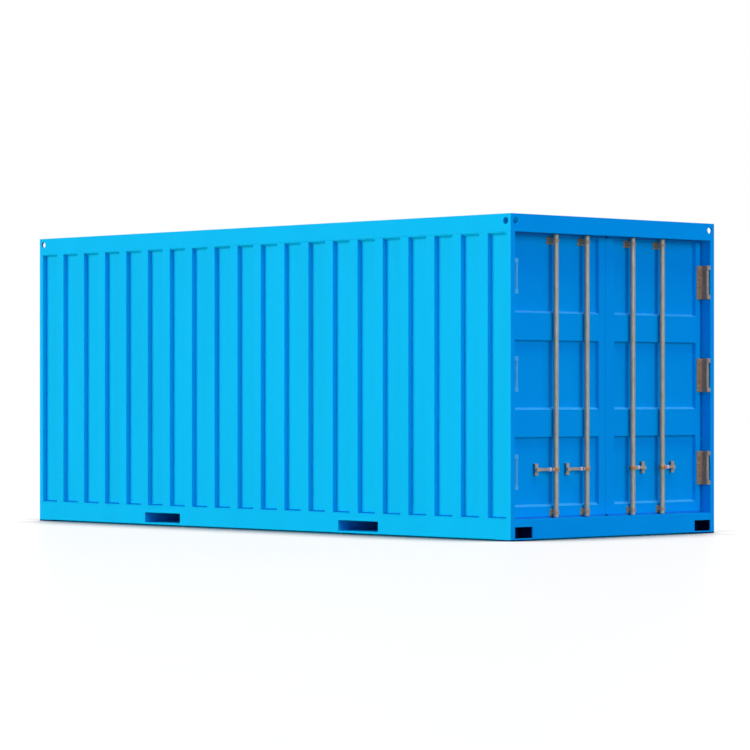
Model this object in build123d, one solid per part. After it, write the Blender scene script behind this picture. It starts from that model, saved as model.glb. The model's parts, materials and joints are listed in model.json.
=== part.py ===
from build123d import *
import os

# Twenty foot dry freight container. Millimetres, X along the length with the
# doors at +X, Z up, origin at the middle of the footprint on the ground.

# Overall size
LENGTH = 6058.0
WIDTH = 2438.0
HEIGHT = 2591.0

# Base and roof bands, which are also the heights of the corner fittings
BASE_BAND = 170.0
TOP_BAND = 142.0

# The corner fittings stand below the rails and sills by this much
BASE_LIFT = 12.5

# Corner fittings
FITTING_LENGTH = 178.0
TOP_FITTING_WIDTH = 162.0
BASE_FITTING_WIDTH = 262.0
FITTING_WALL = 12.0
LOCK_SLOT_LENGTH = 124.5
LOCK_SLOT_WIDTH = 63.5
LOCK_SLOT_FROM_END = 102.5
LOCK_SLOT_FROM_SIDE = 89.5
LASHING_HOLE = 55.0
LASHING_FROM_EDGE = 57.0
LASHING_FROM_TOP = 57.0
SOCKET_WIDTH = 200.0
SOCKET_HEIGHT = 90.0
SOCKET_FROM_SIDE = 48.0
SOCKET_FROM_GROUND = 21.0

# Corner posts
POST_DEPTH = 44.0
POST_WIDTH = 48.0
POST_WALL = 6.0
JAMB_PLATE = 6.0
JAMB_DEPTH = 170.0

# Rails, headers and sills
TOP_RAIL_WIDTH = 60.0
TOP_RAIL_WALL = 4.0
BASE_RAIL_FLANGE = 48.0
BASE_RAIL_WALL = 5.0
BEAM_WALL = 5.0

# Pressed wall sheets
SHEET = 2.0
RECESS_DEPTH = 32.0
RECESS_FLAT = 98.0
RECESS_FROM_CORNER = 50.0
RECESS_END_GAP = 9.0
RECESS_SIDE_SLOPE = 9.0
RECESS_END_SLOPE = 12.0
SIDE_RECESSES = 20
FRONT_RECESSES = 8

# Roof sheet
ROOF_DROP = 6.0
ROOF_RECESS_DEPTH = 20.0
ROOF_RECESS_SLOPE = 30.0
ROOF_RECESS_MARGIN = 30.0
ROOF_RECESSES = 18

# Floor and underframe
FLOOR_THICKNESS = 28.0
CROSS_MEMBER_HEIGHT = 122.0
CROSS_MEMBER_FLANGE = 45.0
CROSS_MEMBER_WALL = 4.0
CROSS_MEMBER_PITCH = 310.0
END_MEMBER_GAP = 40.0
MEMBER_GAP = 2.0

# Forklift pockets
POCKET_WIDTH = 480.0
POCKET_HEIGHT = 87.0
POCKET_FROM_GROUND = 28.0
POCKET_FROM_MIDDLE = 1264.0
POCKET_WALL = 5.0

# Door leaves
DOOR_SETBACK = 100.0
DOOR_THICKNESS = 44.0
DOOR_SKIN = 3.0
DOOR_EDGE_GAP = 13.0
DOOR_SEAM = 16.0
DOOR_HINGE_STILE = 60.0
DOOR_CENTRE_STILE = 85.0
DOOR_BASE_BAND = 81.0
DOOR_FIELD = 556.0
DOOR_BAND = 218.0
DOOR_TOP_EDGE = 8.0
DOOR_RECESS_DEPTH = 34.0
DOOR_FOOT_SLOPE = 18.0
DOOR_HEAD_SLOPE = 4.0
DOOR_SIDE_SLOPE = 4.0
DOOR_TUBE_WALL = 3.0
DOOR_TUBE_GAP = 2.0
GASKET_THICKNESS = 8.0
GASKET_DEPTH = 20.0

# Hinges, on a pin near the front of each jamb
HINGE_HEIGHT = 280.0
HINGE_FROM_FOOT = 223.0
HINGE_FROM_HEAD = 198.0
HINGES = 3
KNUCKLE_RADIUS = 12.0
PIN_RADIUS = 8.0
PIN_CLEARANCE = 0.3
BLADE_THICKNESS = 8.0
BLADE_OVERLAP = 20.0
BLADE_LAP = 48.0
BLADE_BEND = 18.0
POST_CLEARANCE = 1.0
LUG_HEIGHT = 36.0
LUG_GAP = 2.0
BLADE_START = 34.0

# Locking bars and handles
BAR_RADIUS = 21.0
BAR_END_GAP = 6.0
BAR_STANDOFF = 38.0
BAR_INNER = 275.0
BAR_OUTER = 637.0
HUB_RADIUS = 26.0
BRACKET_HEIGHT = 56.0
BRACKET_WIDTH = 72.0
BRACKET_PLATE = 6.0
BRACKET_FROM_EDGE = 2.0
RING_HEIGHT = 24.0
RING_WALL = 4.0
BRACKET_CLEARANCE = 0.5
HANDLE_LEVEL = 560.0
HANDLE_LENGTH = 195.0
HANDLE_SETBACK = 31.0
HANDLE_THICKNESS = 12.0
HANDLE_HEIGHT = 24.0
HANDLE_PIVOT = 40.0
HANDLE_BEND_START = 36.0
HANDLE_BEND_RUN = 24.0
PIVOT_RADIUS = 6.0
PIVOT_EYE = 12.0
EAR_THICKNESS = 6.0
EAR_GAP = 1.0
EAR_RADIUS = 13.0
HUB_HEIGHT = 44.0
CATCH_WIDTH = 34.0
CATCH_HEIGHT = 94.0
CATCH_PLATE = 5.0
CATCH_GAP = 6.0
CATCH_SHELF = 18.0
REST_GAP = 0.3

# Places worked out from the sizes above
HALF_L = LENGTH / 2
HALF_W = WIDTH / 2
EAVES = HEIGHT - TOP_BAND
RAIL_END = HALF_L - FITTING_LENGTH
JAMB = HALF_W - POST_WIDTH
DOOR_FACE = HALF_L - DOOR_SETBACK
DOOR_BACK = DOOR_FACE - DOOR_THICKNESS
DOOR_SIDE = JAMB - DOOR_EDGE_GAP
DOOR_FREE = DOOR_SEAM / 2
DOOR_LOW = BASE_BAND + DOOR_EDGE_GAP
DOOR_HIGH = EAVES - DOOR_EDGE_GAP
PIN_X = HALF_L - KNUCKLE_RADIUS
PIN_Y = DOOR_SIDE - KNUCKLE_RADIUS - POST_CLEARANCE
BAR_X = DOOR_FACE + BAR_STANDOFF
LEFT, RIGHT = -1, 1
SIDES = {"left": LEFT, "right": RIGHT}


def block(x, y, z):
    """A box from pairs of limits, in any order."""
    size = [abs(b - a) for a, b in (x, y, z)]
    middle = [(a + b) / 2 for a, b in (x, y, z)]
    return Pos(*middle) * Box(*size)


def post(radius, x, y, z):
    """An upright cylinder between two levels."""
    return Pos(x, y, (z[0] + z[1]) / 2) * Cylinder(radius, abs(z[1] - z[0]))


def hollow(x, y, z, wall, open_axis):
    """A box tube, open along one axis."""
    inner = []
    for axis, (a, b) in enumerate((x, y, z)):
        inset = 0 if axis == open_axis else wall
        low, high = min(a, b), max(a, b)
        inner.append((low + inset, high - inset))
    return block(x, y, z) - block(*inner)


def frustum(plane, mouth, depth, slopes):
    """A straight-sided tapered pan, sunk below a plane."""
    (u0, u1), (v0, v1) = mouth
    width, height = u1 - u0, v1 - v0
    side, low, high = slopes
    pan = Wedge(width, depth, height, side, low, width - side, height - high)
    inward = Plane(origin=plane.origin, x_dir=plane.x_dir, z_dir=plane.y_dir)
    return inward * Pos((u0 + u1) / 2, depth / 2, (v0 + v1) / 2) * pan


def pressed_sheet(plane, limits, recesses, depth, slopes, thickness):
    """A flat sheet on a plane, pressed into pans of even thickness behind it."""
    (u0, u1), (v0, v1) = limits
    sheet = plane * Pos((u0 + u1) / 2, (v0 + v1) / 2, -thickness / 2)
    sheet = sheet * Box(u1 - u0, v1 - v0, thickness)
    backs, pans = [], []
    for mouth in recesses:
        grown = [(low - thickness, high + thickness) for low, high in mouth]
        backs.append(frustum(plane, grown, depth + thickness, slopes))
        pans.append(frustum(plane, mouth, depth, slopes))
    return sheet + backs - pans


def recess_row(low, high, count, flat):
    """Equal recesses between two limits, with a flat between each pair."""
    width = (high - low - (count - 1) * flat) / count
    return [(low + i * (width + flat), low + i * (width + flat) + width) for i in range(count)]


def side_wall(side):
    """The long corrugated side, its outer flats flush with rails and posts."""
    plane = Plane(origin=(0, side * HALF_W, 0), x_dir=(-side, 0, 0), z_dir=(0, side, 0))
    reach = HALF_L - RECESS_FROM_CORNER
    upright = (BASE_BAND + RECESS_END_GAP, EAVES - RECESS_END_GAP)
    rows = recess_row(-reach, reach, SIDE_RECESSES, RECESS_FLAT)
    end = HALF_L - POST_DEPTH
    limits = ((-end, end), (BASE_BAND, EAVES))
    slopes = (RECESS_SIDE_SLOPE, RECESS_END_SLOPE, RECESS_END_SLOPE)
    return pressed_sheet(plane, limits, [(u, upright) for u in rows], RECESS_DEPTH, slopes, SHEET)


def front_wall():
    """The closed end, pressed like the sides."""
    plane = Plane(origin=(-HALF_L, 0, 0), x_dir=(0, -1, 0), z_dir=(-1, 0, 0))
    reach = HALF_W - RECESS_FROM_CORNER
    upright = (BASE_BAND + RECESS_END_GAP, EAVES - RECESS_END_GAP)
    rows = recess_row(-reach, reach, FRONT_RECESSES, RECESS_FLAT)
    limits = ((-JAMB, JAMB), (BASE_BAND, EAVES))
    slopes = (RECESS_SIDE_SLOPE, RECESS_END_SLOPE, RECESS_END_SLOPE)
    return pressed_sheet(plane, limits, [(u, upright) for u in rows], RECESS_DEPTH, slopes, SHEET)


def roof_panel():
    """The roof sheet between the top rails, with shallow cross pressings."""
    inner = HALF_W - TOP_RAIL_WIDTH
    plane = Plane(origin=(0, 0, HEIGHT - ROOF_DROP), x_dir=(1, 0, 0), z_dir=(0, 0, 1))
    reach = RAIL_END - ROOF_RECESS_MARGIN
    across = (-inner + ROOF_RECESS_MARGIN, inner - ROOF_RECESS_MARGIN)
    rows = recess_row(-reach, reach, ROOF_RECESSES, RECESS_FLAT)
    slopes = (ROOF_RECESS_SLOPE,) * 3
    limits = ((-RAIL_END, RAIL_END), (-inner, inner))
    return pressed_sheet(plane, limits, [(u, across) for u in rows], ROOF_RECESS_DEPTH, slopes, SHEET)


def lock_slot(x, y, z):
    """The oval twistlock aperture, cut through one wall."""
    slot = SlotOverall(LOCK_SLOT_LENGTH, LOCK_SLOT_WIDTH)
    return Pos(x, y, z) * extrude(slot, FITTING_WALL, both=True)


def fitting_shell(end, side, width, z):
    """A closed hollow corner block with its outer corner on the container's corner."""
    x = (end * HALF_L, end * (HALF_L - FITTING_LENGTH))
    y = (side * HALF_W, side * (HALF_W - width))
    inner = [(min(p) + FITTING_WALL, max(p) - FITTING_WALL) for p in (x, y, z)]
    return block(x, y, z) - block(*inner)


def top_fitting(end, side):
    """A roof corner fitting with a twistlock slot and two round lashing holes."""
    shell = fitting_shell(end, side, TOP_FITTING_WIDTH, (EAVES, HEIGHT))
    slot_x = end * (HALF_L - LOCK_SLOT_FROM_END)
    slot_y = side * (HALF_W - LOCK_SLOT_FROM_SIDE)
    level = HEIGHT - LASHING_FROM_TOP
    drill = Cylinder(LASHING_HOLE / 2, 2 * FITTING_WALL)
    in_side = Pos(end * (HALF_L - LASHING_FROM_EDGE), side * HALF_W, level) * Rot(90, 0, 0) * drill
    in_end = Pos(end * HALF_L, side * (HALF_W - LASHING_FROM_EDGE), level) * Rot(0, 90, 0) * drill
    return shell - lock_slot(slot_x, slot_y, HEIGHT) - in_side - in_end


def base_fitting(end, side):
    """A base corner fitting with a twistlock slot and a rectangular end socket."""
    shell = fitting_shell(end, side, BASE_FITTING_WIDTH, (0, BASE_BAND))
    slot_x = end * (HALF_L - LOCK_SLOT_FROM_END)
    slot_y = side * (HALF_W - LOCK_SLOT_FROM_SIDE)
    near = side * (HALF_W - SOCKET_FROM_SIDE)
    far = side * (HALF_W - SOCKET_FROM_SIDE - SOCKET_WIDTH)
    x = (end * (HALF_L - 1.5 * FITTING_WALL), end * (HALF_L + FITTING_WALL))
    socket = block(x, (near, far), (SOCKET_FROM_GROUND, SOCKET_FROM_GROUND + SOCKET_HEIGHT))
    return shell - lock_slot(slot_x, slot_y, 0) - socket


def front_post(side):
    """A closed box post at the blind end."""
    x = (-HALF_L, -HALF_L + POST_DEPTH)
    return hollow(x, (side * HALF_W, side * JAMB), (BASE_BAND, EAVES), POST_WALL, 2)


def rear_post(side):
    """The door post: a box at the corner with a deep jamb plate behind it."""
    z = (BASE_BAND, EAVES)
    box = hollow((HALF_L - POST_DEPTH, HALF_L), (side * JAMB, side * HALF_W), z, POST_WALL, 2)
    x = (HALF_L - JAMB_DEPTH, HALF_L - POST_DEPTH)
    plate = block(x, (side * JAMB, side * (JAMB + JAMB_PLATE)), z)
    return box + plate


def top_rail(side):
    """The box rail along the top of a side, between the corner fittings."""
    y = (side * HALF_W, side * (HALF_W - TOP_RAIL_WIDTH))
    return hollow((-RAIL_END, RAIL_END), y, (EAVES, HEIGHT), TOP_RAIL_WALL, 0)


def base_rail(side):
    """The channel rail along the base of a side, cut through for the pockets."""
    outer = side * HALF_W
    web = (outer, side * (HALF_W - BASE_RAIL_WALL))
    flange = (outer, side * (HALF_W - BASE_RAIL_FLANGE))
    x = (-RAIL_END, RAIL_END)
    rail = block(x, web, (BASE_LIFT, BASE_BAND))
    rail += block(x, flange, (BASE_LIFT, BASE_LIFT + BASE_RAIL_WALL))
    rail += block(x, flange, (BASE_BAND - BASE_RAIL_WALL, BASE_BAND))
    z = (POCKET_FROM_GROUND, POCKET_FROM_GROUND + POCKET_HEIGHT)
    for middle in (-POCKET_FROM_MIDDLE, POCKET_FROM_MIDDLE):
        mouth = (middle - POCKET_WIDTH / 2, middle + POCKET_WIDTH / 2)
        rail -= block(mouth, (outer + side, side * (HALF_W - 2 * BASE_RAIL_WALL)), z)
    return rail


def cross_beam(end, width, z):
    """A box beam across one end, between two corner fittings."""
    reach = HALF_W - width
    return hollow((end * HALF_L, end * RAIL_END), (-reach, reach), z, BEAM_WALL, 1)


def floor_deck():
    """The plywood deck, flush with the sills."""
    edge = HALF_W - BASE_RAIL_FLANGE
    return block((-RAIL_END, RAIL_END), (-edge, edge), (BASE_BAND - FLOOR_THICKNESS, BASE_BAND))


def cross_member(x):
    """One channel across the base, open towards the doors."""
    top = BASE_BAND - FLOOR_THICKNESS
    low = top - CROSS_MEMBER_HEIGHT
    edge = HALF_W - BASE_RAIL_WALL
    web = block((x, x + CROSS_MEMBER_WALL), (-edge, edge), (low, top))
    flange = (x, x + CROSS_MEMBER_FLANGE)
    web += block(flange, (-edge, edge), (low, low + CROSS_MEMBER_WALL))
    return web + block(flange, (-edge, edge), (top - CROSS_MEMBER_WALL, top))


def cross_members(low, high):
    """Evenly spaced channels between two limits."""
    run = high - low - CROSS_MEMBER_FLANGE
    gaps = round(run / CROSS_MEMBER_PITCH)
    return Compound(children=[cross_member(low + i * run / gaps) for i in range(gaps + 1)])


def pocket_tunnel(middle):
    """The forklift tunnel from side to side, behind the openings in the rails."""
    edge = HALF_W - BASE_RAIL_WALL
    half = POCKET_WIDTH / 2 + POCKET_WALL
    low = POCKET_FROM_GROUND - POCKET_WALL
    high = POCKET_FROM_GROUND + POCKET_HEIGHT + POCKET_WALL
    return hollow((middle - half, middle + half), (-edge, edge), (low, high), POCKET_WALL, 1)


def field_rows():
    """The levels of the recessed fields of a door, from the base band up."""
    rows = []
    low = DOOR_LOW + DOOR_BASE_BAND
    while low + DOOR_FIELD + DOOR_BAND < DOOR_HIGH - DOOR_TOP_EDGE:
        rows.append((low, low + DOOR_FIELD))
        low += DOOR_FIELD + DOOR_BAND
    rows.append((low, DOOR_HIGH - DOOR_TOP_EDGE))
    return rows


def door_panel(side):
    """The pressed steel skin of a door, with recessed fields and raised bands."""
    plane = Plane(origin=(DOOR_FACE, 0, 0), x_dir=(0, 1, 0), z_dir=(1, 0, 0))
    edges = sorted((side * DOOR_FREE, side * DOOR_SIDE))
    field = sorted((side * (DOOR_FREE + DOOR_CENTRE_STILE), side * (DOOR_SIDE - DOOR_HINGE_STILE)))
    recesses = [(field, row) for row in field_rows()]
    limits = (edges, (DOOR_LOW, DOOR_HIGH))
    slopes = (DOOR_SIDE_SLOPE, DOOR_FOOT_SLOPE, DOOR_HEAD_SLOPE)
    return pressed_sheet(plane, limits, recesses, DOOR_RECESS_DEPTH, slopes, DOOR_SKIN)


def door_frame(side):
    """The tubes welded round the back of a door skin."""
    x = (DOOR_BACK, DOOR_FACE - DOOR_SKIN)
    spare = DOOR_SKIN + DOOR_TUBE_GAP
    hinge = (side * DOOR_SIDE, side * (DOOR_SIDE - DOOR_HINGE_STILE + spare))
    centre = (side * DOOR_FREE, side * (DOOR_FREE + DOOR_CENTRE_STILE - spare))
    low = (DOOR_LOW, DOOR_LOW + DOOR_BASE_BAND - spare)
    high = (DOOR_HIGH - DOOR_TOP_EDGE + spare, DOOR_HIGH)
    frame = hollow(x, hinge, (DOOR_LOW, DOOR_HIGH), DOOR_TUBE_WALL, 2)
    frame += hollow(x, centre, (DOOR_LOW, DOOR_HIGH), DOOR_TUBE_WALL, 2)
    frame += hollow(x, (hinge[1], centre[1]), low, DOOR_TUBE_WALL, 1)
    return frame + block(x, (hinge[1], centre[1]), high)


def door_gasket(side):
    """The rubber seal round the hinge edge, head and foot of a door."""
    x = (DOOR_BACK, DOOR_BACK + GASKET_DEPTH)
    rim = DOOR_SIDE + GASKET_THICKNESS
    low, high = DOOR_LOW - GASKET_THICKNESS, DOOR_HIGH + GASKET_THICKNESS
    seal = block(x, (side * DOOR_SIDE, side * rim), (low, high))
    seal += block(x, (side * DOOR_FREE, side * DOOR_SIDE), (low, DOOR_LOW))
    return seal + block(x, (side * DOOR_FREE, side * DOOR_SIDE), (DOOR_HIGH, high))


def hinge_levels():
    """The middle level of each hinge, evenly spaced up a door."""
    low = DOOR_LOW + HINGE_FROM_FOOT + HINGE_HEIGHT / 2
    high = DOOR_HIGH - HINGE_FROM_HEAD - HINGE_HEIGHT / 2
    return [low + i * (high - low) / (HINGES - 1) for i in range(HINGES)]


def hinge_blade(side, level):
    """A bent blade: a leg on the door's face, a leg along the jamb and a knuckle."""
    half = HINGE_HEIGHT / 2
    knuckle = half - LUG_HEIGHT - LUG_GAP
    full = (level - half, level + half)
    short = (level - knuckle, level + knuckle)
    near, far = side * DOOR_SIDE, side * (DOOR_SIDE + BLADE_THICKNESS)
    front = DOOR_FACE + BLADE_THICKNESS
    blade = block((DOOR_FACE, front), (side * (DOOR_SIDE - BLADE_LAP), far), full)
    blade += block((DOOR_FACE - BLADE_OVERLAP, PIN_X - BLADE_START), (near, far), full)
    blade += block((PIN_X - BLADE_START, PIN_X), (near, far), short)
    blade += block((PIN_X - KNUCKLE_RADIUS, PIN_X), (side * PIN_Y, far), short)
    blade += post(KNUCKLE_RADIUS, PIN_X, side * PIN_Y, short)
    bend = block((front, front + BLADE_BEND), (near, side * (DOOR_SIDE - BLADE_BEND)), full)
    bend -= post(BLADE_BEND, front + BLADE_BEND, side * (DOOR_SIDE - BLADE_BEND), full)
    return blade + bend - post(PIN_RADIUS + PIN_CLEARANCE, PIN_X, side * PIN_Y, short)


def hinge_lug_pair(side, level):
    """The two lugs on a post that hold one hinge pin."""
    half = HINGE_HEIGHT / 2
    lugs = post(PIN_RADIUS, PIN_X, side * PIN_Y, (level - half, level + half))
    x = (PIN_X - KNUCKLE_RADIUS, PIN_X + KNUCKLE_RADIUS)
    y = (side * (PIN_Y - KNUCKLE_RADIUS), side * JAMB)
    lugs += block(x, y, (level - half, level - half + LUG_HEIGHT))
    return lugs + block(x, y, (level + half - LUG_HEIGHT, level + half))


def bar_places():
    """Each locking bar's number, door side and place across the doors."""
    return [(1, LEFT, -BAR_OUTER), (2, LEFT, -BAR_INNER), (3, RIGHT, BAR_INNER), (4, RIGHT, BAR_OUTER)]


def bracket_levels():
    """The levels of the bearing brackets at the foot and the head of a bar."""
    low = DOOR_LOW + BRACKET_FROM_EDGE
    high = DOOR_HIGH - DOOR_TOP_EDGE - DOOR_HEAD_SLOPE - BRACKET_FROM_EDGE
    return [(low, low + BRACKET_HEIGHT), (high - BRACKET_HEIGHT, high)]


def field_depth_at(level):
    """How far a door's surface lies behind its bands at a level."""
    for low, high in field_rows():
        if low < level < high:
            return DOOR_RECESS_DEPTH
    return 0.0


def bar_bracket(y, z):
    """A bearing bracket: a plate on the door, a web and a ring round the bar."""
    level = (z[0] + z[1]) / 2
    surface = DOOR_FACE - field_depth_at(level)
    ring = (level - RING_HEIGHT / 2, level + RING_HEIGHT / 2)
    inner = BAR_RADIUS + BRACKET_CLEARANCE
    outer = inner + RING_WALL
    bracket = block((surface, surface + BRACKET_PLATE), (y - BRACKET_WIDTH / 2, y + BRACKET_WIDTH / 2), z)
    bracket += block((surface, BAR_X), (y - outer, y + outer), ring)
    bracket += post(outer, BAR_X, y, ring)
    return bracket - post(inner, BAR_X, y, ring)


def handle_arm_x():
    """The depth of a handle's free end."""
    return BAR_X - HANDLE_SETBACK


def locking_bar(y, side):
    """A round bar from sill to header with a hub, two ears and the handle's pin."""
    low, high = BASE_BAND + BAR_END_GAP, EAVES - BAR_END_GAP
    bar = post(BAR_RADIUS, BAR_X, y, (low, high))
    hub = (HANDLE_LEVEL - HUB_HEIGHT / 2, HANDLE_LEVEL + HUB_HEIGHT / 2)
    bar += post(HUB_RADIUS, BAR_X, y, hub)
    gap = HANDLE_THICKNESS / 2 + EAR_GAP
    pivot = y + side * HANDLE_PIVOT
    ear = (HANDLE_LEVEL - EAR_RADIUS, HANDLE_LEVEL + EAR_RADIUS)
    for way in (-1, 1):
        x = (BAR_X + way * gap, BAR_X + way * (gap + EAR_THICKNESS))
        bar += block(x, (y, pivot + side * EAR_RADIUS), ear)
    pin = Rot(0, 90, 0) * Cylinder(PIVOT_RADIUS, 2 * gap + EAR_THICKNESS)
    return bar + Pos(BAR_X, pivot, HANDLE_LEVEL) * pin


def locking_handle(y, side):
    """The hand lever: an eye on the bar's pin and a flat arm set back to the door."""
    pivot = y + side * HANDLE_PIVOT
    half = HANDLE_THICKNESS / 2
    bend, tip = pivot + side * HANDLE_BEND_START, y + side * HANDLE_LENGTH
    kink = bend + side * HANDLE_BEND_RUN
    front = [(BAR_X + half, pivot), (BAR_X + half, bend)]
    front += [(handle_arm_x() + half, kink), (handle_arm_x() + half, tip)]
    back = [(x - HANDLE_THICKNESS, v) for x, v in reversed(front)]
    outline = make_face(Polyline(*front, *back, close=True))
    arm = extrude(Plane.XY.offset(HANDLE_LEVEL - HANDLE_HEIGHT / 2) * outline, HANDLE_HEIGHT)
    across = Pos(BAR_X, pivot, HANDLE_LEVEL) * Rot(0, 90, 0)
    lever = arm + across * Cylinder(PIVOT_EYE, HANDLE_THICKNESS)
    return lever - across * Cylinder(PIVOT_RADIUS + PIN_CLEARANCE, 2 * HANDLE_THICKNESS)


def handle_catch(y, side):
    """A bent strap on the door with a shelf under the handle's free end."""
    surface = DOOR_FACE - DOOR_RECESS_DEPTH
    front = handle_arm_x() - HANDLE_THICKNESS / 2 - CATCH_GAP
    middle = y + side * (HANDLE_LENGTH - CATCH_WIDTH / 2)
    across = (middle - CATCH_WIDTH / 2, middle + CATCH_WIDTH / 2)
    z = (HANDLE_LEVEL - CATCH_HEIGHT / 2, HANDLE_LEVEL + CATCH_HEIGHT / 2)
    strap = block((surface, front), across, z)
    inner = (z[0] + CATCH_PLATE, z[1] - CATCH_PLATE)
    strap -= block((surface - 1, front - CATCH_PLATE), across, inner)
    top = HANDLE_LEVEL - HANDLE_HEIGHT / 2 - REST_GAP
    return strap + block((front - 1, front + CATCH_SHELF), across, (top - CATCH_PLATE, top))


def door_nodes(name, side):
    """The fixed pieces of one door leaf."""
    places = [y for _, way, y in bar_places() if way == side]
    return {
        f"door_panel_{name}": door_panel(side),
        f"door_frame_{name}": door_frame(side),
        f"door_gasket_{name}": door_gasket(side),
        f"hinge_blades_{name}": Compound(children=[hinge_blade(side, z) for z in hinge_levels()]),
        f"bar_brackets_{name}": Compound(
            children=[bar_bracket(y, z) for y in places for z in bracket_levels()]),
        f"handle_catches_{name}": Compound(children=[handle_catch(y, side) for y in places]),
    }


def container_nodes():
    """Every named piece of the container."""
    inner = POCKET_FROM_MIDDLE - POCKET_WIDTH / 2 - POCKET_WALL - MEMBER_GAP
    outer = POCKET_FROM_MIDDLE + POCKET_WIDTH / 2 + POCKET_WALL + MEMBER_GAP
    nodes = {
        "front_wall": front_wall(),
        "roof_panel": roof_panel(),
        "floor_deck": floor_deck(),
        "front_header": cross_beam(-1, TOP_FITTING_WIDTH, (EAVES, HEIGHT)),
        "front_sill": cross_beam(-1, BASE_FITTING_WIDTH, (BASE_LIFT, BASE_BAND)),
        "door_header": cross_beam(1, TOP_FITTING_WIDTH, (EAVES, HEIGHT)),
        "door_sill": cross_beam(1, BASE_FITTING_WIDTH, (BASE_LIFT, BASE_BAND)),
        "cross_members_front": cross_members(-RAIL_END + END_MEMBER_GAP, -outer),
        "cross_members_middle": cross_members(-inner, inner),
        "cross_members_rear": cross_members(outer, RAIL_END - END_MEMBER_GAP),
        "forklift_pocket_front": pocket_tunnel(-POCKET_FROM_MIDDLE),
        "forklift_pocket_rear": pocket_tunnel(POCKET_FROM_MIDDLE),
    }
    for name, side in SIDES.items():
        nodes[f"side_wall_{name}"] = side_wall(side)
        nodes[f"top_rail_{name}"] = top_rail(side)
        nodes[f"base_rail_{name}"] = base_rail(side)
        nodes[f"front_post_{name}"] = front_post(side)
        nodes[f"rear_post_{name}"] = rear_post(side)
        nodes[f"hinge_lugs_{name}"] = Compound(
            children=[hinge_lug_pair(side, z) for z in hinge_levels()])
        nodes.update(door_nodes(name, side))
    for name, end in (("front", -1), ("rear", 1)):
        nodes[f"top_fittings_{name}"] = Compound(
            children=[top_fitting(end, side) for side in SIDES.values()])
        nodes[f"base_fittings_{name}"] = Compound(
            children=[base_fitting(end, side) for side in SIDES.values()])
    for number, side, y in bar_places():
        nodes[f"locking_bar_{number}"] = locking_bar(y, side)
        nodes[f"locking_handle_{number}"] = locking_handle(y, side)
    return nodes


os.makedirs("parts", exist_ok=True)
for node, shape in container_nodes().items():
    export_step(shape, f"parts/{node}.step")
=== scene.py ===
import json
import math

import bmesh
import bpy
import numpy as np
from bpy.props import FloatProperty, FloatVectorProperty, PointerProperty
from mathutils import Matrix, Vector


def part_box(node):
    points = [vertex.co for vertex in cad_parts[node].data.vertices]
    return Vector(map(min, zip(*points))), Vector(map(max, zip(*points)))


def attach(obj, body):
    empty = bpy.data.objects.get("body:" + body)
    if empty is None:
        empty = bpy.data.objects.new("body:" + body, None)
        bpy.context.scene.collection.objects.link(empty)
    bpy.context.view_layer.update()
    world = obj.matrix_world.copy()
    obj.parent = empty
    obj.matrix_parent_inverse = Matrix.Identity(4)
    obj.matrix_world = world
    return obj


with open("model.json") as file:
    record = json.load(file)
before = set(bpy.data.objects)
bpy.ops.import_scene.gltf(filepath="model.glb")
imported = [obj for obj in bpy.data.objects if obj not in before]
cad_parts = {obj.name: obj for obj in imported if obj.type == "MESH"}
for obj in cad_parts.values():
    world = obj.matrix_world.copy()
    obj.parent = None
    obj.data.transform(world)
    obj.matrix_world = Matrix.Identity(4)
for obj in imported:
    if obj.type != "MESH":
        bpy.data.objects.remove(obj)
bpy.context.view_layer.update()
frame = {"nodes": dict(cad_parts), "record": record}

bl_info = {
    "name": "Freight Container Looks",
    "version": (1, 0, 0),
    "blender": (4, 5, 0),
    "location": "View3D > Sidebar > Container",
    "description": "Paints a packed freight container, adds its small fittings and lights it",
    "category": "Object",
}

NODES = frame["nodes"]
MATERIALS = {}

# which way each door lies from the middle, along Y
LEFT, RIGHT = -1, 1
DOOR_SIDES = {"left": LEFT, "right": RIGHT}
BARS = range(1, 5)

# sizes of the solids that the fittings sit on, in metres
HUB_RADIUS = 0.026
BLADE_THICKNESS, BLADE_HEIGHT = 0.008, 0.280
BRACKET_THICKNESS, BRACKET_HEIGHT = 0.006, 0.056
# the rise of the outward normal on the sloping ends of the pressings, and its span
SLOPE_RISE, SLOPE_SPAN = 0.87, 0.11
# the numbers of the colour sockets on a Mix node
MIX_FACTOR, MIX_FROM, MIX_TO, MIX_RESULT = 0, 6, 7, 2


def linear(code):
    """A colour from an sRGB hex code, as the linear values that the shader takes."""
    parts = np.array([int(code[i:i + 2], 16) for i in (1, 3, 5)]) / 255
    low, high = parts / 12.92, ((parts + 0.055) / 1.055) ** 2.4
    return tuple(np.where(parts <= 0.04045, low, high)) + (1.0,)


def join(tree, node, inputs):
    """Gives each input named its value, or a link where the value is a socket."""
    for name, value in inputs.items():
        if isinstance(value, bpy.types.NodeSocket):
            tree.links.new(value, node.inputs[name])
        else:
            node.inputs[name].default_value = value


def add(tree, kind, settings=None, inputs=None):
    """One shader node with its settings, and the values and links of its inputs."""
    node = tree.nodes.new(kind)
    for name, value in (settings or {}).items():
        setattr(node, name, value)
    join(tree, node, inputs or {})
    return node


def new_material(name):
    """An empty node material and its Principled shader, joined to the output."""
    material = bpy.data.materials.new(name)
    material.use_nodes = True
    tree = material.node_tree
    tree.nodes.clear()
    shader = add(tree, "ShaderNodeBsdfPrincipled")
    add(tree, "ShaderNodeOutputMaterial", inputs={"Surface": shader.outputs["BSDF"]})
    return material, tree, shader


def scaled_place(tree, scale):
    """Object coordinates in metres times a scale along each axis."""
    place = add(tree, "ShaderNodeTexCoord").outputs["Object"]
    mapping = add(tree, "ShaderNodeMapping", inputs={"Scale": scale, "Vector": place})
    return mapping.outputs["Vector"]


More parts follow.
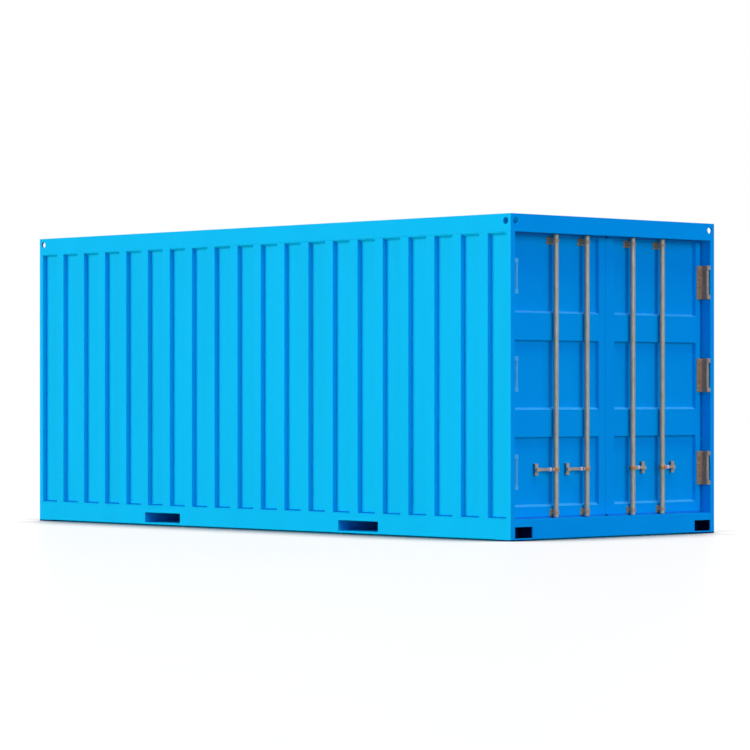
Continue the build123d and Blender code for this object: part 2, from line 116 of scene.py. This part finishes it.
def lumps(tree, size_mm, detail=2.0, stretch=(1, 1, 1)):
    """Fractal noise whose lumps are about one size, drawn out along an axis if asked."""
    place = scaled_place(tree, tuple(1000 / (size_mm * s) for s in stretch))
    noise = add(tree, "ShaderNodeTexNoise",
                inputs={"Scale": 1.0, "Detail": detail, "Vector": place})
    return noise.outputs["Fac"]


def mottled(tree, low, high, *pattern):
    """A colour that lumps take from one tone to another, and the lumps, for the relief."""
    height = lumps(tree, *pattern)
    ramp = add(tree, "ShaderNodeValToRGB", inputs={"Fac": height})
    first, last = ramp.color_ramp.elements
    first.position, last.position = 0.3, 0.7
    first.color, last.color = low, high
    return ramp.outputs["Color"], height


def soft_edges(tree, radius_mm, height=None, depth_mm=0.0):
    """A normal rounded over a small radius at the edges, with a bump on top if asked."""
    edge = add(tree, "ShaderNodeBevel", {"samples": 4}, {"Radius": radius_mm / 1000})
    if height is None:
        return edge.outputs["Normal"]
    bump = add(tree, "ShaderNodeBump", inputs={
        "Strength": 1.0, "Distance": depth_mm / 1000, "Height": height,
        "Normal": edge.outputs["Normal"]})
    return bump.outputs["Normal"]


def sloping(tree, rise):
    """One where the surface's outward normal rises by about so much, and nothing elsewhere."""
    normal = add(tree, "ShaderNodeNewGeometry").outputs["True Normal"]
    found = add(tree, "ShaderNodeSeparateXYZ", inputs={0: normal}).outputs["Z"]
    return add(tree, "ShaderNodeMath", {"operation": "COMPARE"},
               {0: found, 1: rise, 2: SLOPE_SPAN}).outputs[0]


def painted_highlight_on_ledges(tree):
    """A painted highlight on the sloping feet of the pressed fields, which face up towards the
    light.
    """
    share = 0.22
    return add(tree, "ShaderNodeMath", {"operation": "MULTIPLY"},
               {0: sloping(tree, SLOPE_RISE), 1: share}).outputs[0]


def painted_shade_in_feet(tree):
    """Painted shade in the feet of the corrugations, low on a wall."""
    share, height = 0.8, 0.3
    place = add(tree, "ShaderNodeTexCoord").outputs["Object"]
    level = add(tree, "ShaderNodeSeparateXYZ", inputs={0: place}).outputs["Z"]
    mask = add(tree, "ShaderNodeMath", {"operation": "LESS_THAN"},
               {0: level, 1: height}).outputs[0]
    for value in (sloping(tree, SLOPE_RISE), share):
        mask = add(tree, "ShaderNodeMath", {"operation": "MULTIPLY"},
                   {0: mask, 1: value}).outputs[0]
    return mask


def painted_light_on_heads(tree):
    """Painted light on the heads of the corrugations, which face down into shade."""
    return sloping(tree, -SLOPE_RISE)


def painted_shade_in_corner_blocks(tree):
    """Painted shade inside the lower corner blocks, and a painted contact shadow on the feet that
    they stand on.
    """
    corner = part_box("base_fittings_rear")[1]
    depth, foot_height = 0.0115, 0.011
    place = add(tree, "ShaderNodeTexCoord").outputs["Object"]
    # the four corners are mirror images, so one test on |x|, |y| and z finds them all
    mirrored = add(tree, "ShaderNodeVectorMath", {"operation": "ABSOLUTE"}, {0: place}).outputs[0]
    found = add(tree, "ShaderNodeSeparateXYZ", inputs={0: mirrored}).outputs
    hollow = 1.0
    for axis, edge in zip("XYZ", corner):
        within = add(tree, "ShaderNodeMath", {"operation": "LESS_THAN"},
                     {0: found[axis], 1: edge - depth}).outputs[0]
        hollow = add(tree, "ShaderNodeMath", {"operation": "MULTIPLY"},
                     {0: hollow, 1: within}).outputs[0]
    foot = add(tree, "ShaderNodeMath", {"operation": "LESS_THAN"},
               {0: found["Z"], 1: foot_height}).outputs[0]
    return add(tree, "ShaderNodeMath", {"operation": "MAXIMUM"}, {0: hollow, 1: foot}).outputs[0]


def sheet_enamel(name, colour, marks=()):
    """Satin alkyd enamel, sprayed on pressed steel, with other colours over some places if asked.

    The eye gets one strong even colour, a broad dull sheen with no mirror in it, a faint
    ripple of the spray and slightly deeper and paler runs down the sheets.
    """
    material, tree, shader = new_material(name)
    deep, pale = (tuple(Vector(colour) * tone) + (1.0,) for tone in (0.965, 1.02))
    paint, _ = mottled(tree, deep, pale, 420, 3.0, (1, 1, 6))
    for mask, code in marks:
        mixed = add(tree, "ShaderNodeMix", {"data_type": "RGBA"},
                    {MIX_FACTOR: mask(tree), MIX_FROM: paint, MIX_TO: linear(code)})
        paint = mixed.outputs[MIX_RESULT]
    # the real ripple is 2 mm across, drawn as 14 mm so that it shows
    ripple = lumps(tree, 14, 1.0)
    join(tree, shader, {
        "Base Color": paint, "Normal": soft_edges(tree, 4.0, ripple, 0.12),
        "Roughness": 0.5, "IOR": 1.5, "Specular IOR Level": 0.015})
    return material


def galvanised_steel():
    """Hot-dip galvanised steel, drawn and dulled by weather.

    The eye gets a warm khaki grey with a soft bright line down the bar, mottled where the
    zinc has turned.
    """
    material, tree, shader = new_material("weathered_galvanised_steel")
    # zinc mottling about 25 mm across
    zinc, relief = mottled(tree, linear("#B4A882"), linear("#CBBF9C"), 25, 3.0, (1, 1, 3))
    join(tree, shader, {
        "Base Color": zinc, "Normal": soft_edges(tree, 1.5, relief, 0.15),
        "Metallic": 0.35, "Roughness": 0.45})
    return material


def forged_hinge_steel():
    """Drop-forged steel with a brown oxide skin.

    The eye gets a flat warm brown with fine scale on it.
    """
    material, tree, shader = new_material("brown_oxide_forged_steel")
    # scale in flakes of 18 mm, with pits about 0.3 mm deep
    brown, relief = mottled(tree, linear("#B89466"), linear("#D0AC7C"), 18, 4.0)
    join(tree, shader, {
        "Base Color": brown, "Normal": soft_edges(tree, 3.0, relief, 0.3),
        "Metallic": 0.15, "Roughness": 0.5})
    return material


def hinge_paint_with_painted_highlight():
    """Blue alkyd paint, brushed over forged steel, made pale as a painted highlight.

    The eye gets a pale sky blue with upright brush marks and a dull sheen.
    """
    material, tree, shader = new_material("brushed_alkyd_paint_with_painted_highlight")
    # brush marks about 3 mm wide, drawn out along the height
    pale, relief = mottled(tree, linear("#4CC8DE"), linear("#60D4E8"), 3, 2.0, (1, 1, 30))
    join(tree, shader, {
        "Base Color": pale, "Normal": soft_edges(tree, 2.0, relief, 0.15),
        "Roughness": 0.5, "Specular IOR Level": 0.2})
    return material


def yellow_zinc():
    """Zinc plating with a yellow chromate film, as on turned hubs.

    The eye gets an orange gold, streaked round the turning and cloudy with wear.
    """
    material, tree, shader = new_material("yellow_chromate_zinc")
    # turning marks about 4 mm apart along the height
    gold, relief = mottled(tree, linear("#C07834"), linear("#DC9C58"), 4, 1.0, (20, 20, 1))
    join(tree, shader, {
        "Base Color": gold, "Normal": soft_edges(tree, 1.5, relief, 0.1),
        "Metallic": 0.3, "Roughness": 0.4})
    return material


def bright_zinc():
    """Clear zinc plating on a pressed steel collar.

    The eye gets a near-white metal with a fine satin grain.
    """
    material, tree, shader = new_material("clear_zinc_plating")
    # a grain of the zinc about 6 mm across
    white, relief = mottled(tree, linear("#E8E4EE"), linear("#F8F6FA"), 6)
    join(tree, shader, {
        "Base Color": white, "Normal": soft_edges(tree, 1.5, relief, 0.05),
        "Metallic": 0.2, "Roughness": 0.35})
    return material


def seal_rubber():
    """Extruded EPDM rubber, coloured a bright blue close to the paint's as painted light, so that
    the seals in the shaded gaps at the doors' heads and feet read as lit.

    The eye gets a matt blue with the faint bloom of age, in clouds of 60 mm.
    """
    material, tree, shader = new_material("epdm_rubber_with_painted_light")
    blue, _ = mottled(tree, linear("#0090DC"), linear("#0C9CE8"), 60, 3.0)
    join(tree, shader, {"Base Color": blue, "Normal": soft_edges(tree, 1.5), "Roughness": 0.75})
    return material


def deck_plywood():
    """Phenolic-coated plywood boards, laid lengthways.

    The eye gets a red-brown film over long grain, with a dark joint between boards.
    """
    material, tree, shader = new_material("phenolic_coated_plywood")
    # grain lines about 6 mm wide and half a metre long
    wood, grain = mottled(tree, linear("#6B4226"), linear("#8A5C38"), 6, 4.0, (80, 1, 1))
    board_length, board_width, joint_share = 2.4, 1.17, 0.003
    boards = scaled_place(tree, (1 / board_length, 1 / board_width, 1.0))
    joint = add(tree, "ShaderNodeTexBrick", {"offset": 0.5}, {
        "Scale": 1.0, "Mortar Size": joint_share, "Brick Width": 1.0, "Row Height": 1.0,
        "Mortar": linear("#24150C"), "Vector": boards, "Color1": wood, "Color2": wood})
    join(tree, shader, {
        "Base Color": joint.outputs["Color"], "Normal": soft_edges(tree, 1.0, grain, 0.2),
        "Roughness": 0.45})
    return material


def grid_mesh(name, points, closed_u=True):
    """A mesh from points[copy, i, j, xyz]: four neighbours make a face, and i can close on itself.

    Doubles at poles and seams are merged, and the faces are turned outwards.
    """
    copies, rows, columns = points.shape[:3]
    index = np.arange(copies * rows * columns).reshape(copies, rows, columns)
    if closed_u:
        index = np.concatenate([index, index[:, :1]], axis=1)
    corners = (index[:, :-1, :-1], index[:, 1:, :-1], index[:, 1:, 1:], index[:, :-1, 1:])
    faces = np.stack([c.ravel() for c in corners], axis=1)
    mesh = bpy.data.meshes.new(name)
    mesh.from_pydata(points.reshape(-1, 3).tolist(), [], faces.tolist())
    shaped = bmesh.new()
    shaped.from_mesh(mesh)
    bmesh.ops.remove_doubles(shaped, verts=shaped.verts, dist=1e-6)
    bmesh.ops.recalc_face_normals(shaped, faces=shaped.faces)
    shaped.to_mesh(mesh)
    shaped.free()
    mesh.shade_smooth()
    return mesh


def add_piece(name, points, body, slot, finish=None):
    """A finished piece at the origin from its points, riding on a body.

    Its finish is the one of its slot, unless another is named.
    """
    mesh = grid_mesh(name, points)
    piece = bpy.data.objects.new(name, mesh)
    bpy.context.scene.collection.objects.link(piece)
    mesh.materials.append(MATERIALS[finish or slot])
    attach(piece, body)


def turned(profile, steps):
    """A profile of (radius, height) pairs carried round: x = r cos a, y = r sin a, z = h."""
    angle = np.linspace(0, 2 * math.pi, steps, endpoint=False)[:, None]
    radius, height = np.array(profile, float).T
    upright = np.broadcast_to(height, (steps, len(height)))
    return np.stack([radius * np.cos(angle), radius * np.sin(angle), upright], axis=-1)


def rounded_section(half_wide, half_high, radius, margin):
    """A rounded rectangle: quarter circles round four corners, and points a margin inside them.

    A corner's points are its centre plus (R cos a, R sin a), with a turning through 90 degrees.
    """
    turn = np.linspace(0, math.pi / 2, 5)
    arc = np.stack([half_wide - radius + radius * np.cos(turn),
                    half_high - radius + radius * np.sin(turn)], axis=1)
    inset = np.array([[half_wide - radius - margin, half_high]])
    corner = np.vstack([arc, inset])
    ways = ((1, 1, 1), (-1, 1, -1), (-1, -1, 1), (1, -1, -1))
    return np.vstack([corner[::step] * (sx, sy) for sx, sy, step in ways])


def carried(section, start, stop, middle, order):
    """A section of two coordinates carried along a run, and closed by shrinking its ends.

    A point is the middle plus (u k, v k, w): u and v go round the section, w goes from the
    run's start to its stop, and k is 0 at the two ends and 1 between them. A row stands a
    millimetre inside each end, so that the long faces stay flat. The order says which of
    the three goes along X, Y and Z.
    """
    near = math.copysign(0.001, stop - start)
    along = np.array([start, start, start + near, stop - near, stop, stop])
    shrink = np.array([0.0, 1.0, 1.0, 1.0, 1.0, 0.0])
    shape = (len(section), len(along))
    parts = (section[:, :1] * shrink, section[:, 1:] * shrink, np.broadcast_to(along, shape))
    return np.stack([parts[i] for i in order], axis=-1) + np.array(middle)


def domed_heads(places, radius, rise):
    """Round heads that face +X: half an ellipse, r = R cos t and h = H sin t, at every place."""
    steps, rings = 16, 5
    turn = np.linspace(0, math.pi / 2, rings)
    dome = np.stack([radius * np.cos(turn), rise * np.sin(turn)], axis=1)
    # a flat foot sunk into the plate closes each head
    profile = np.vstack([[0, -rise * 0.5], [radius, -rise * 0.5], dome])
    head = turned(profile, steps)[..., [2, 0, 1]]
    return np.array(places, float)[:, None, None, :] + head[None]


def hub_of(number):
    """The middle of a locking bar's hub, and the side of the container that its door is on."""
    low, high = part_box(f"locking_handle_{number}")
    bar_low, bar_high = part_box(f"locking_bar_{number}")
    side = RIGHT if number > 2 else LEFT
    # the hub reaches as far on the side away from its handle as the bar's box does
    inner = bar_low.y if side == RIGHT else bar_high.y
    return (bar_low.x + HUB_RADIUS, inner + side * HUB_RADIUS, (low.z + high.z) / 2), side


def slot_of(node):
    """The material slot that the record gives to a node."""
    subparts = frame["record"]["subparts"]
    return next(part["material_slot"] for part in subparts if part["node"] == node)


class ContainerFinishes(bpy.types.PropertyGroup):
    """Colours of the finishes"""

    paint: FloatVectorProperty(
        name="Paint", description="Colour of the enamel", subtype="COLOR", size=3,
        default=linear("#00BAEC")[:3], min=0.0, max=1.0)


class ContainerFittings(bpy.types.PropertyGroup):
    """Sizes of the small fittings"""

    bolt_radius: FloatProperty(
        name="Bolt head", description="Radius of a bolt's head", subtype="DISTANCE", unit="LENGTH",
        default=0.011)
    bolt_rise: FloatProperty(
        name="Bolt rise", description="Height of a bolt's head", subtype="DISTANCE", unit="LENGTH",
        default=0.006)
    sleeve_radius: FloatProperty(
        name="Hub sleeve", description="Outer radius of a locking bar's hub", subtype="DISTANCE",
        unit="LENGTH", default=0.0265)
    sleeve_height: FloatProperty(
        name="Sleeve height", description="Height of the sleeve on a locking bar's hub",
        subtype="DISTANCE", unit="LENGTH", default=0.030)
    collar_length: FloatProperty(
        name="Handle collar", description="Length of the collar on a handle beside its pivot",
        subtype="DISTANCE", unit="LENGTH", default=0.015)
    cover_width: FloatProperty(
        name="Seam cover", description="Width of the strip over the seam between the doors",
        subtype="DISTANCE", unit="LENGTH", default=0.060)
    cover_thickness: FloatProperty(
        name="Cover thickness", description="Thickness of the strip over the seam",
        subtype="DISTANCE", unit="LENGTH", default=0.002)


class ContainerStudio(bpy.types.PropertyGroup):
    """Strengths of the lights"""

    side_light: FloatProperty(
        name="Side light", description="Strength of the light on the long side",
        default=3.45, min=0.0)
    end_light: FloatProperty(
        name="End light", description="Strength of the light on the doors", default=1.0, min=0.0)
    fill_light: FloatProperty(
        name="Fill", description="Strength of the light from all round", default=0.68, min=0.0)
    top_light: FloatProperty(
        name="Top light", description="Strength of the light from above", default=1.1, min=0.0)
    back_light: FloatProperty(
        name="Back light", description="Strength of the light on the two sides behind",
        default=2.0, min=0.0)


class CONTAINER_OT_finishes(bpy.types.Operator):
    """Give every CAD node the finish of its slot"""

    bl_idname = "container.finishes"
    bl_label = "Finishes"

    def execute(self, context):
        paint = context.scene.container_finishes.paint
        MATERIALS.update({
            "container_paint": sheet_enamel("satin_alkyd_enamel", paint),
            # the corner blocks get painted shade inside and a painted contact shadow on their
            # feet, in dark navy
            "fitting_paint": sheet_enamel(
                "satin_alkyd_enamel_on_cast_steel_with_painted_shade", paint, [(painted_shade_in_corner_blocks, "#002858")]),
            # the walls get painted shade in the low feet of the corrugations and painted light on
            # their heads
            "wall_paint": sheet_enamel(
                "satin_alkyd_enamel_with_painted_shade_and_light", paint,
                [(painted_shade_in_feet, "#0060B4"), (painted_light_on_heads, "#00EAFF")]),
            # the doors get a painted highlight, in pale cyan, on the upward-facing ledges of their
            # fields
            "door_paint": sheet_enamel(
                "satin_alkyd_enamel_with_pale_ledges", paint, [(painted_highlight_on_ledges, "#90F0F0")]),
            "bar_steel": galvanised_steel(), "hinge_steel": forged_hinge_steel(),
            # the hinge paint is pale as a painted highlight, and the seal rubber is a bright blue
            # as painted light
            "hinge_paint": hinge_paint_with_painted_highlight(), "seal_rubber": seal_rubber(),
            "deck_plywood": deck_plywood(), "yellow_zinc": yellow_zinc(),
            "bright_zinc": bright_zinc()})
        special = {"door_panel": "door_paint", "side_wall": "wall_paint",
                   "front_wall": "wall_paint"}
        for name, node in NODES.items():
            own = [finish for start, finish in special.items() if name.startswith(start)]
            node.data.materials.clear()
            node.data.materials.append(MATERIALS[own[0] if own else slot_of(name)])
        return {"FINISHED"}


class CONTAINER_OT_hinge_rivets(bpy.types.Operator):
    """Put the rivets through the hinge blades' legs on the doors"""

    bl_idname = "container.hinge_rivets"
    bl_label = "Hinge rivets"

    def execute(self, context):
        sizes = context.scene.container_fittings
        inset, spacing = 0.020, 0.064
        for name, side in DOOR_SIDES.items():
            low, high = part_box(f"hinge_blades_{name}")
            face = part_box(f"door_panel_{name}")[1].x + BLADE_THICKNESS
            inner = side * (min(abs(low.y), abs(high.y)) + inset)
            middle = (low.z + high.z) / 2
            pitch = (high.z - low.z - BLADE_HEIGHT) / 2
            places = [(face, inner, middle + i * pitch + j * spacing)
                      for i in (-1, 0, 1) for j in (-1.5, -0.5, 0.5, 1.5)]
            heads = domed_heads(places, sizes.bolt_radius, sizes.bolt_rise)
            add_piece(f"hinge_rivets_{name}", heads, f"door_{name}",
                      slot_of(f"hinge_blades_{name}"))
        return {"FINISHED"}


class CONTAINER_OT_seam_cover(bpy.types.Operator):
    """Lay the cover strip over the seam between the doors"""

    bl_idname = "container.seam_cover"
    bl_label = "Seam cover"

    def execute(self, context):
        # a strip with rounded long edges, carried up the edge of the right door
        low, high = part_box("door_panel_right")
        sizes = context.scene.container_fittings
        gap, inset = 0.0003, 0.006
        half, thick = sizes.cover_width / 2, sizes.cover_thickness
        section = rounded_section(half, thick / 2, thick / 2 * 0.98, half * 0.03)
        middle = (high.x + thick / 2 + gap, low.y + inset, 0.0)
        strip = carried(section, low.z, high.z, middle, (1, 0, 2))
        add_piece("seam_cover", strip[None], "door_right", "container_paint")
        return {"FINISHED"}


class CONTAINER_OT_gasket_lips(bpy.types.Operator):
    """Fill the gaps at the doors' feet and heads with the gaskets' outer lips"""

    bl_idname = "container.gasket_lips"
    bl_label = "Gasket lips"

    def execute(self, context):
        # a rounded rectangle carried across each door
        sill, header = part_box("door_sill")[1].z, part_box("door_header")[0].z
        half_deep, radius, margin = 0.005, 0.0025, 0.0005
        setback, inset, clearance = 0.006, 0.010, 0.001
        for name in DOOR_SIDES:
            low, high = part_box(f"door_panel_{name}")
            section = rounded_section(half_deep, (low.z - sill) / 2 - clearance, radius, margin)
            middles = [(high.x - setback, 0.0, level)
                       for level in ((sill + low.z) / 2, (header + high.z) / 2)]
            lips = np.stack([carried(section, low.y + inset, high.y - inset, middle, (0, 2, 1))
                             for middle in middles])
            add_piece(f"gasket_lips_{name}", lips, f"door_{name}", "seal_rubber")
        return {"FINISHED"}


class CONTAINER_OT_bracket_bolts(bpy.types.Operator):
    """Bolt the bars' brackets to the doors"""

    bl_idname = "container.bracket_bolts"
    bl_label = "Bracket bolts"

    def execute(self, context):
        sizes = context.scene.container_fittings
        spread_y, spread_z, scale = 0.027, 0.019, 0.6
        for name, side in DOOR_SIDES.items():
            low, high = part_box(f"bar_brackets_{name}")
            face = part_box(f"door_panel_{name}")[1].x
            # the lower brackets stand on the door's face, the upper ones in a pressed field
            middles = [(face + BRACKET_THICKNESS, low.z + BRACKET_HEIGHT / 2),
                       (low.x + BRACKET_THICKNESS, high.z - BRACKET_HEIGHT / 2)]
            bars = [hub_of(number)[0][1] for number in BARS if hub_of(number)[1] == side]
            places = [(x, y + i * spread_y, z + j * spread_z)
                      for x, z in middles for y in bars for i in (-1, 1) for j in (-1, 1)]
            heads = domed_heads(places, sizes.bolt_radius * scale, sizes.bolt_rise * scale)
            add_piece(f"bracket_bolts_{name}", heads, f"door_{name}", "hinge_steel")
        return {"FINISHED"}


class CONTAINER_OT_hub_sleeves(bpy.types.Operator):
    """Slip the turned sleeves over the locking bars' hubs"""

    bl_idname = "container.hub_sleeves"
    bl_label = "Hub sleeves"

    def execute(self, context):
        # a ring with a rounded outside, r = R + C (1 - s s) with s from -1 to 1 up its height
        sizes = context.scene.container_fittings
        radius, half = sizes.sleeve_radius, sizes.sleeve_height / 2
        crown, wall, steps = 0.001, 0.003, 32
        rise = np.linspace(-1, 1, 9)
        outside = np.stack([radius + crown * (1 - rise ** 2), rise * half], axis=1)
        inside = np.array([[radius - wall, half], [radius - wall, -half]])
        ring = turned(np.vstack([outside, inside, outside[:1]]), steps)
        for number in BARS:
            middle, _ = hub_of(number)
            add_piece(f"hub_sleeve_{number}", (ring + np.array(middle))[None], f"bar_{number}",
                      "bar_steel", "yellow_zinc")
        return {"FINISHED"}


class CONTAINER_OT_handle_collars(bpy.types.Operator):
    """Clamp the plated collars round the handles beside their pivots"""

    bl_idname = "container.handle_collars"
    bl_label = "Handle collars"

    def execute(self, context):
        # a rounded rectangle carried along the handle, from where it is clear of the bar's ears
        start = 0.0605
        stop = start + context.scene.container_fittings.collar_length
        half_deep, half_high, radius, margin = 0.0095, 0.0155, 0.004, 0.001
        section = rounded_section(half_deep, half_high, radius, margin)
        for number in BARS:
            middle, side = hub_of(number)
            collar = carried(section, side * start, side * stop, middle, (0, 2, 1))
            add_piece(f"handle_collar_{number}", collar[None], f"handle_{number}",
                      "bar_steel", "bright_zinc")
        return {"FINISHED"}


class CONTAINER_OT_stage(bpy.types.Operator):
    """Lay the floor and set the lights and the camera"""

    bl_idname = "container.stage"
    bl_label = "Stage"

    def execute(self, context):
        scene = context.scene
        studio = scene.container_studio
        surround(scene, studio.fill_light)
        lay_floor()
        sun("side_light", (-0.8, -1.0, 0.42), studio.side_light, "#FFFFD2", 42)
        sun("end_light", (1.0, -0.17, 0.32), studio.end_light, "#D4E4FF", 30)
        sun("top_light", (0.25, 0.0, 1.0), studio.top_light, "#FFFFDE", 30)
        sun("back_light", (-0.1, 1.0, 0.6), studio.back_light, "#FFFFDC", 30)
        place_camera(scene)
        scene.view_settings.view_transform = "Standard"
        return {"FINISHED"}


def surround(scene, strength_of_fill):
    """A world that looks white and lights the object with a dim blue fill."""
    world = bpy.data.worlds.new("studio")
    scene.world = world
    world.use_nodes = True
    tree = world.node_tree
    tree.nodes.clear()
    rays = add(tree, "ShaderNodeLightPath").outputs
    seen = rays["Is Camera Ray"]
    for ray in ("Is Transmission Ray", "Is Glossy Ray"):
        seen = add(tree, "ShaderNodeMath", {"operation": "MAXIMUM"},
                   {0: seen, 1: rays[ray]}).outputs[0]
    fill = add(tree, "ShaderNodeBackground",
               inputs={"Color": linear("#4E4EFF"), "Strength": strength_of_fill})
    white = add(tree, "ShaderNodeBackground", inputs={"Color": linear("#FFFFFF"), "Strength": 1.0})
    mix = add(tree, "ShaderNodeMixShader",
              inputs={0: seen, 1: fill.outputs[0], 2: white.outputs[0]})
    add(tree, "ShaderNodeOutputWorld", inputs={"Surface": mix.outputs[0]})


def sun(name, towards, energy, colour, spread_deg):
    """A distant lamp, seen from the object in one direction, with a soft edge."""
    lamp = bpy.data.lights.new(name, "SUN")
    lamp.energy = energy
    lamp.color = linear(colour)[:3]
    lamp.angle = math.radians(spread_deg)
    holder = bpy.data.objects.new(name, lamp)
    holder.rotation_euler = Vector(towards).to_track_quat("Z", "Y").to_euler()
    bpy.context.scene.collection.objects.link(holder)


def place_camera(scene):
    """A long lens, level and low, that looks at the corner between the long side and the doors."""
    camera = bpy.data.objects.new("camera", bpy.data.cameras.new("camera"))
    scene.collection.objects.link(camera)
    camera.location = (21.349, -19.972, 1.157)
    camera.rotation_euler = Vector((-0.72742, 0.68619, 0.0)).to_track_quat("-Z", "Y").to_euler()
    camera.data.lens = 159.5
    camera.data.shift_y = 0.0265
    camera.data.clip_end = 500
    scene.camera = camera


def lay_floor():
    """A wide pale floor: a square of quads, white to the camera, that keeps the shadow.

    The camera sees mostly its own white, with a share of the real shading and sheen, and a
    dark contact line where the object blocks the light close by.
    """
    half, own_white, reach = 60, 0.70, 1.5
    line = np.linspace(-half, half, 5)
    x, y = np.meshgrid(line, line, indexing="ij")
    points = np.stack([x, y, np.zeros_like(x)], axis=-1)[None]
    mesh = grid_mesh("studio_floor", points, closed_u=False)
    material, tree, shader = new_material("white_vinyl_studio_floor")
    vinyl, _ = mottled(tree, linear("#68686A"), linear("#6E6E70"), 900)
    join(tree, shader, {"Base Color": vinyl, "Roughness": 0.36, "Specular IOR Level": 0.5})
    camera_ray = add(tree, "ShaderNodeLightPath").outputs["Is Camera Ray"]
    share = add(tree, "ShaderNodeMath", {"operation": "MULTIPLY"},
                {0: camera_ray, 1: own_white}).outputs[0]
    near = add(tree, "ShaderNodeAmbientOcclusion", {"samples": 8}, {"Distance": reach})
    contact = add(tree, "ShaderNodeValToRGB", inputs={"Fac": near.outputs["AO"]})
    dark, clear = contact.color_ramp.elements
    dark.position, clear.position = 0.51, 0.70
    dark.color, clear.color = linear("#004A62"), linear("#FFFFFD")
    glow = add(tree, "ShaderNodeEmission",
               inputs={"Strength": 1.28, "Color": contact.outputs["Color"]})
    mix = add(tree, "ShaderNodeMixShader",
              inputs={0: share, 1: shader.outputs["BSDF"], 2: glow.outputs[0]})
    output = next(node for node in tree.nodes if node.type == "OUTPUT_MATERIAL")
    join(tree, output, {"Surface": mix.outputs[0]})
    mesh.materials.append(material)
    floor = bpy.data.objects.new("studio_floor", mesh)
    bpy.context.scene.collection.objects.link(floor)


class CONTAINER_PT_panel(bpy.types.Panel):
    """Lists the container's sizes, colours and steps"""

    bl_idname = "CONTAINER_PT_panel"
    bl_label = "Container"
    bl_space_type = "VIEW_3D"
    bl_region_type = "UI"
    bl_category = "Container"

    def draw(self, context):
        for name, cls in GROUPS.items():
            box = self.layout.box()
            for value in cls.__annotations__:
                box.prop(getattr(context.scene, name), value)
        for operator in OPERATORS:
            self.layout.operator(operator.bl_idname)


GROUPS = {
    "container_finishes": ContainerFinishes,
    "container_fittings": ContainerFittings,
    "container_studio": ContainerStudio,
}
OPERATORS = (
    CONTAINER_OT_finishes,
    CONTAINER_OT_hinge_rivets,
    CONTAINER_OT_seam_cover,
    CONTAINER_OT_gasket_lips,
    CONTAINER_OT_bracket_bolts,
    CONTAINER_OT_hub_sleeves,
    CONTAINER_OT_handle_collars,
    CONTAINER_OT_stage,
)


def register():
    """Registers the groups, the operators and the panel, and hangs the groups on the scene."""
    for cls in (*GROUPS.values(), *OPERATORS, CONTAINER_PT_panel):
        bpy.utils.register_class(cls)
    for name, cls in GROUPS.items():
        setattr(bpy.types.Scene, name, PointerProperty(type=cls))


def unregister():
    """Takes it all away again."""
    for name in GROUPS:
        delattr(bpy.types.Scene, name)
    for cls in (CONTAINER_PT_panel, *reversed(OPERATORS), *GROUPS.values()):
        bpy.utils.unregister_class(cls)


def main():
    """Dresses the container."""
    register()
    bpy.ops.container.finishes()
    bpy.ops.container.hinge_rivets()
    bpy.ops.container.seam_cover()
    bpy.ops.container.gasket_lips()
    bpy.ops.container.bracket_bolts()
    bpy.ops.container.hub_sleeves()
    bpy.ops.container.handle_collars()
    bpy.ops.container.stage()
    bpy.context.view_layer.update()


if __name__ == "__main__":
    main()
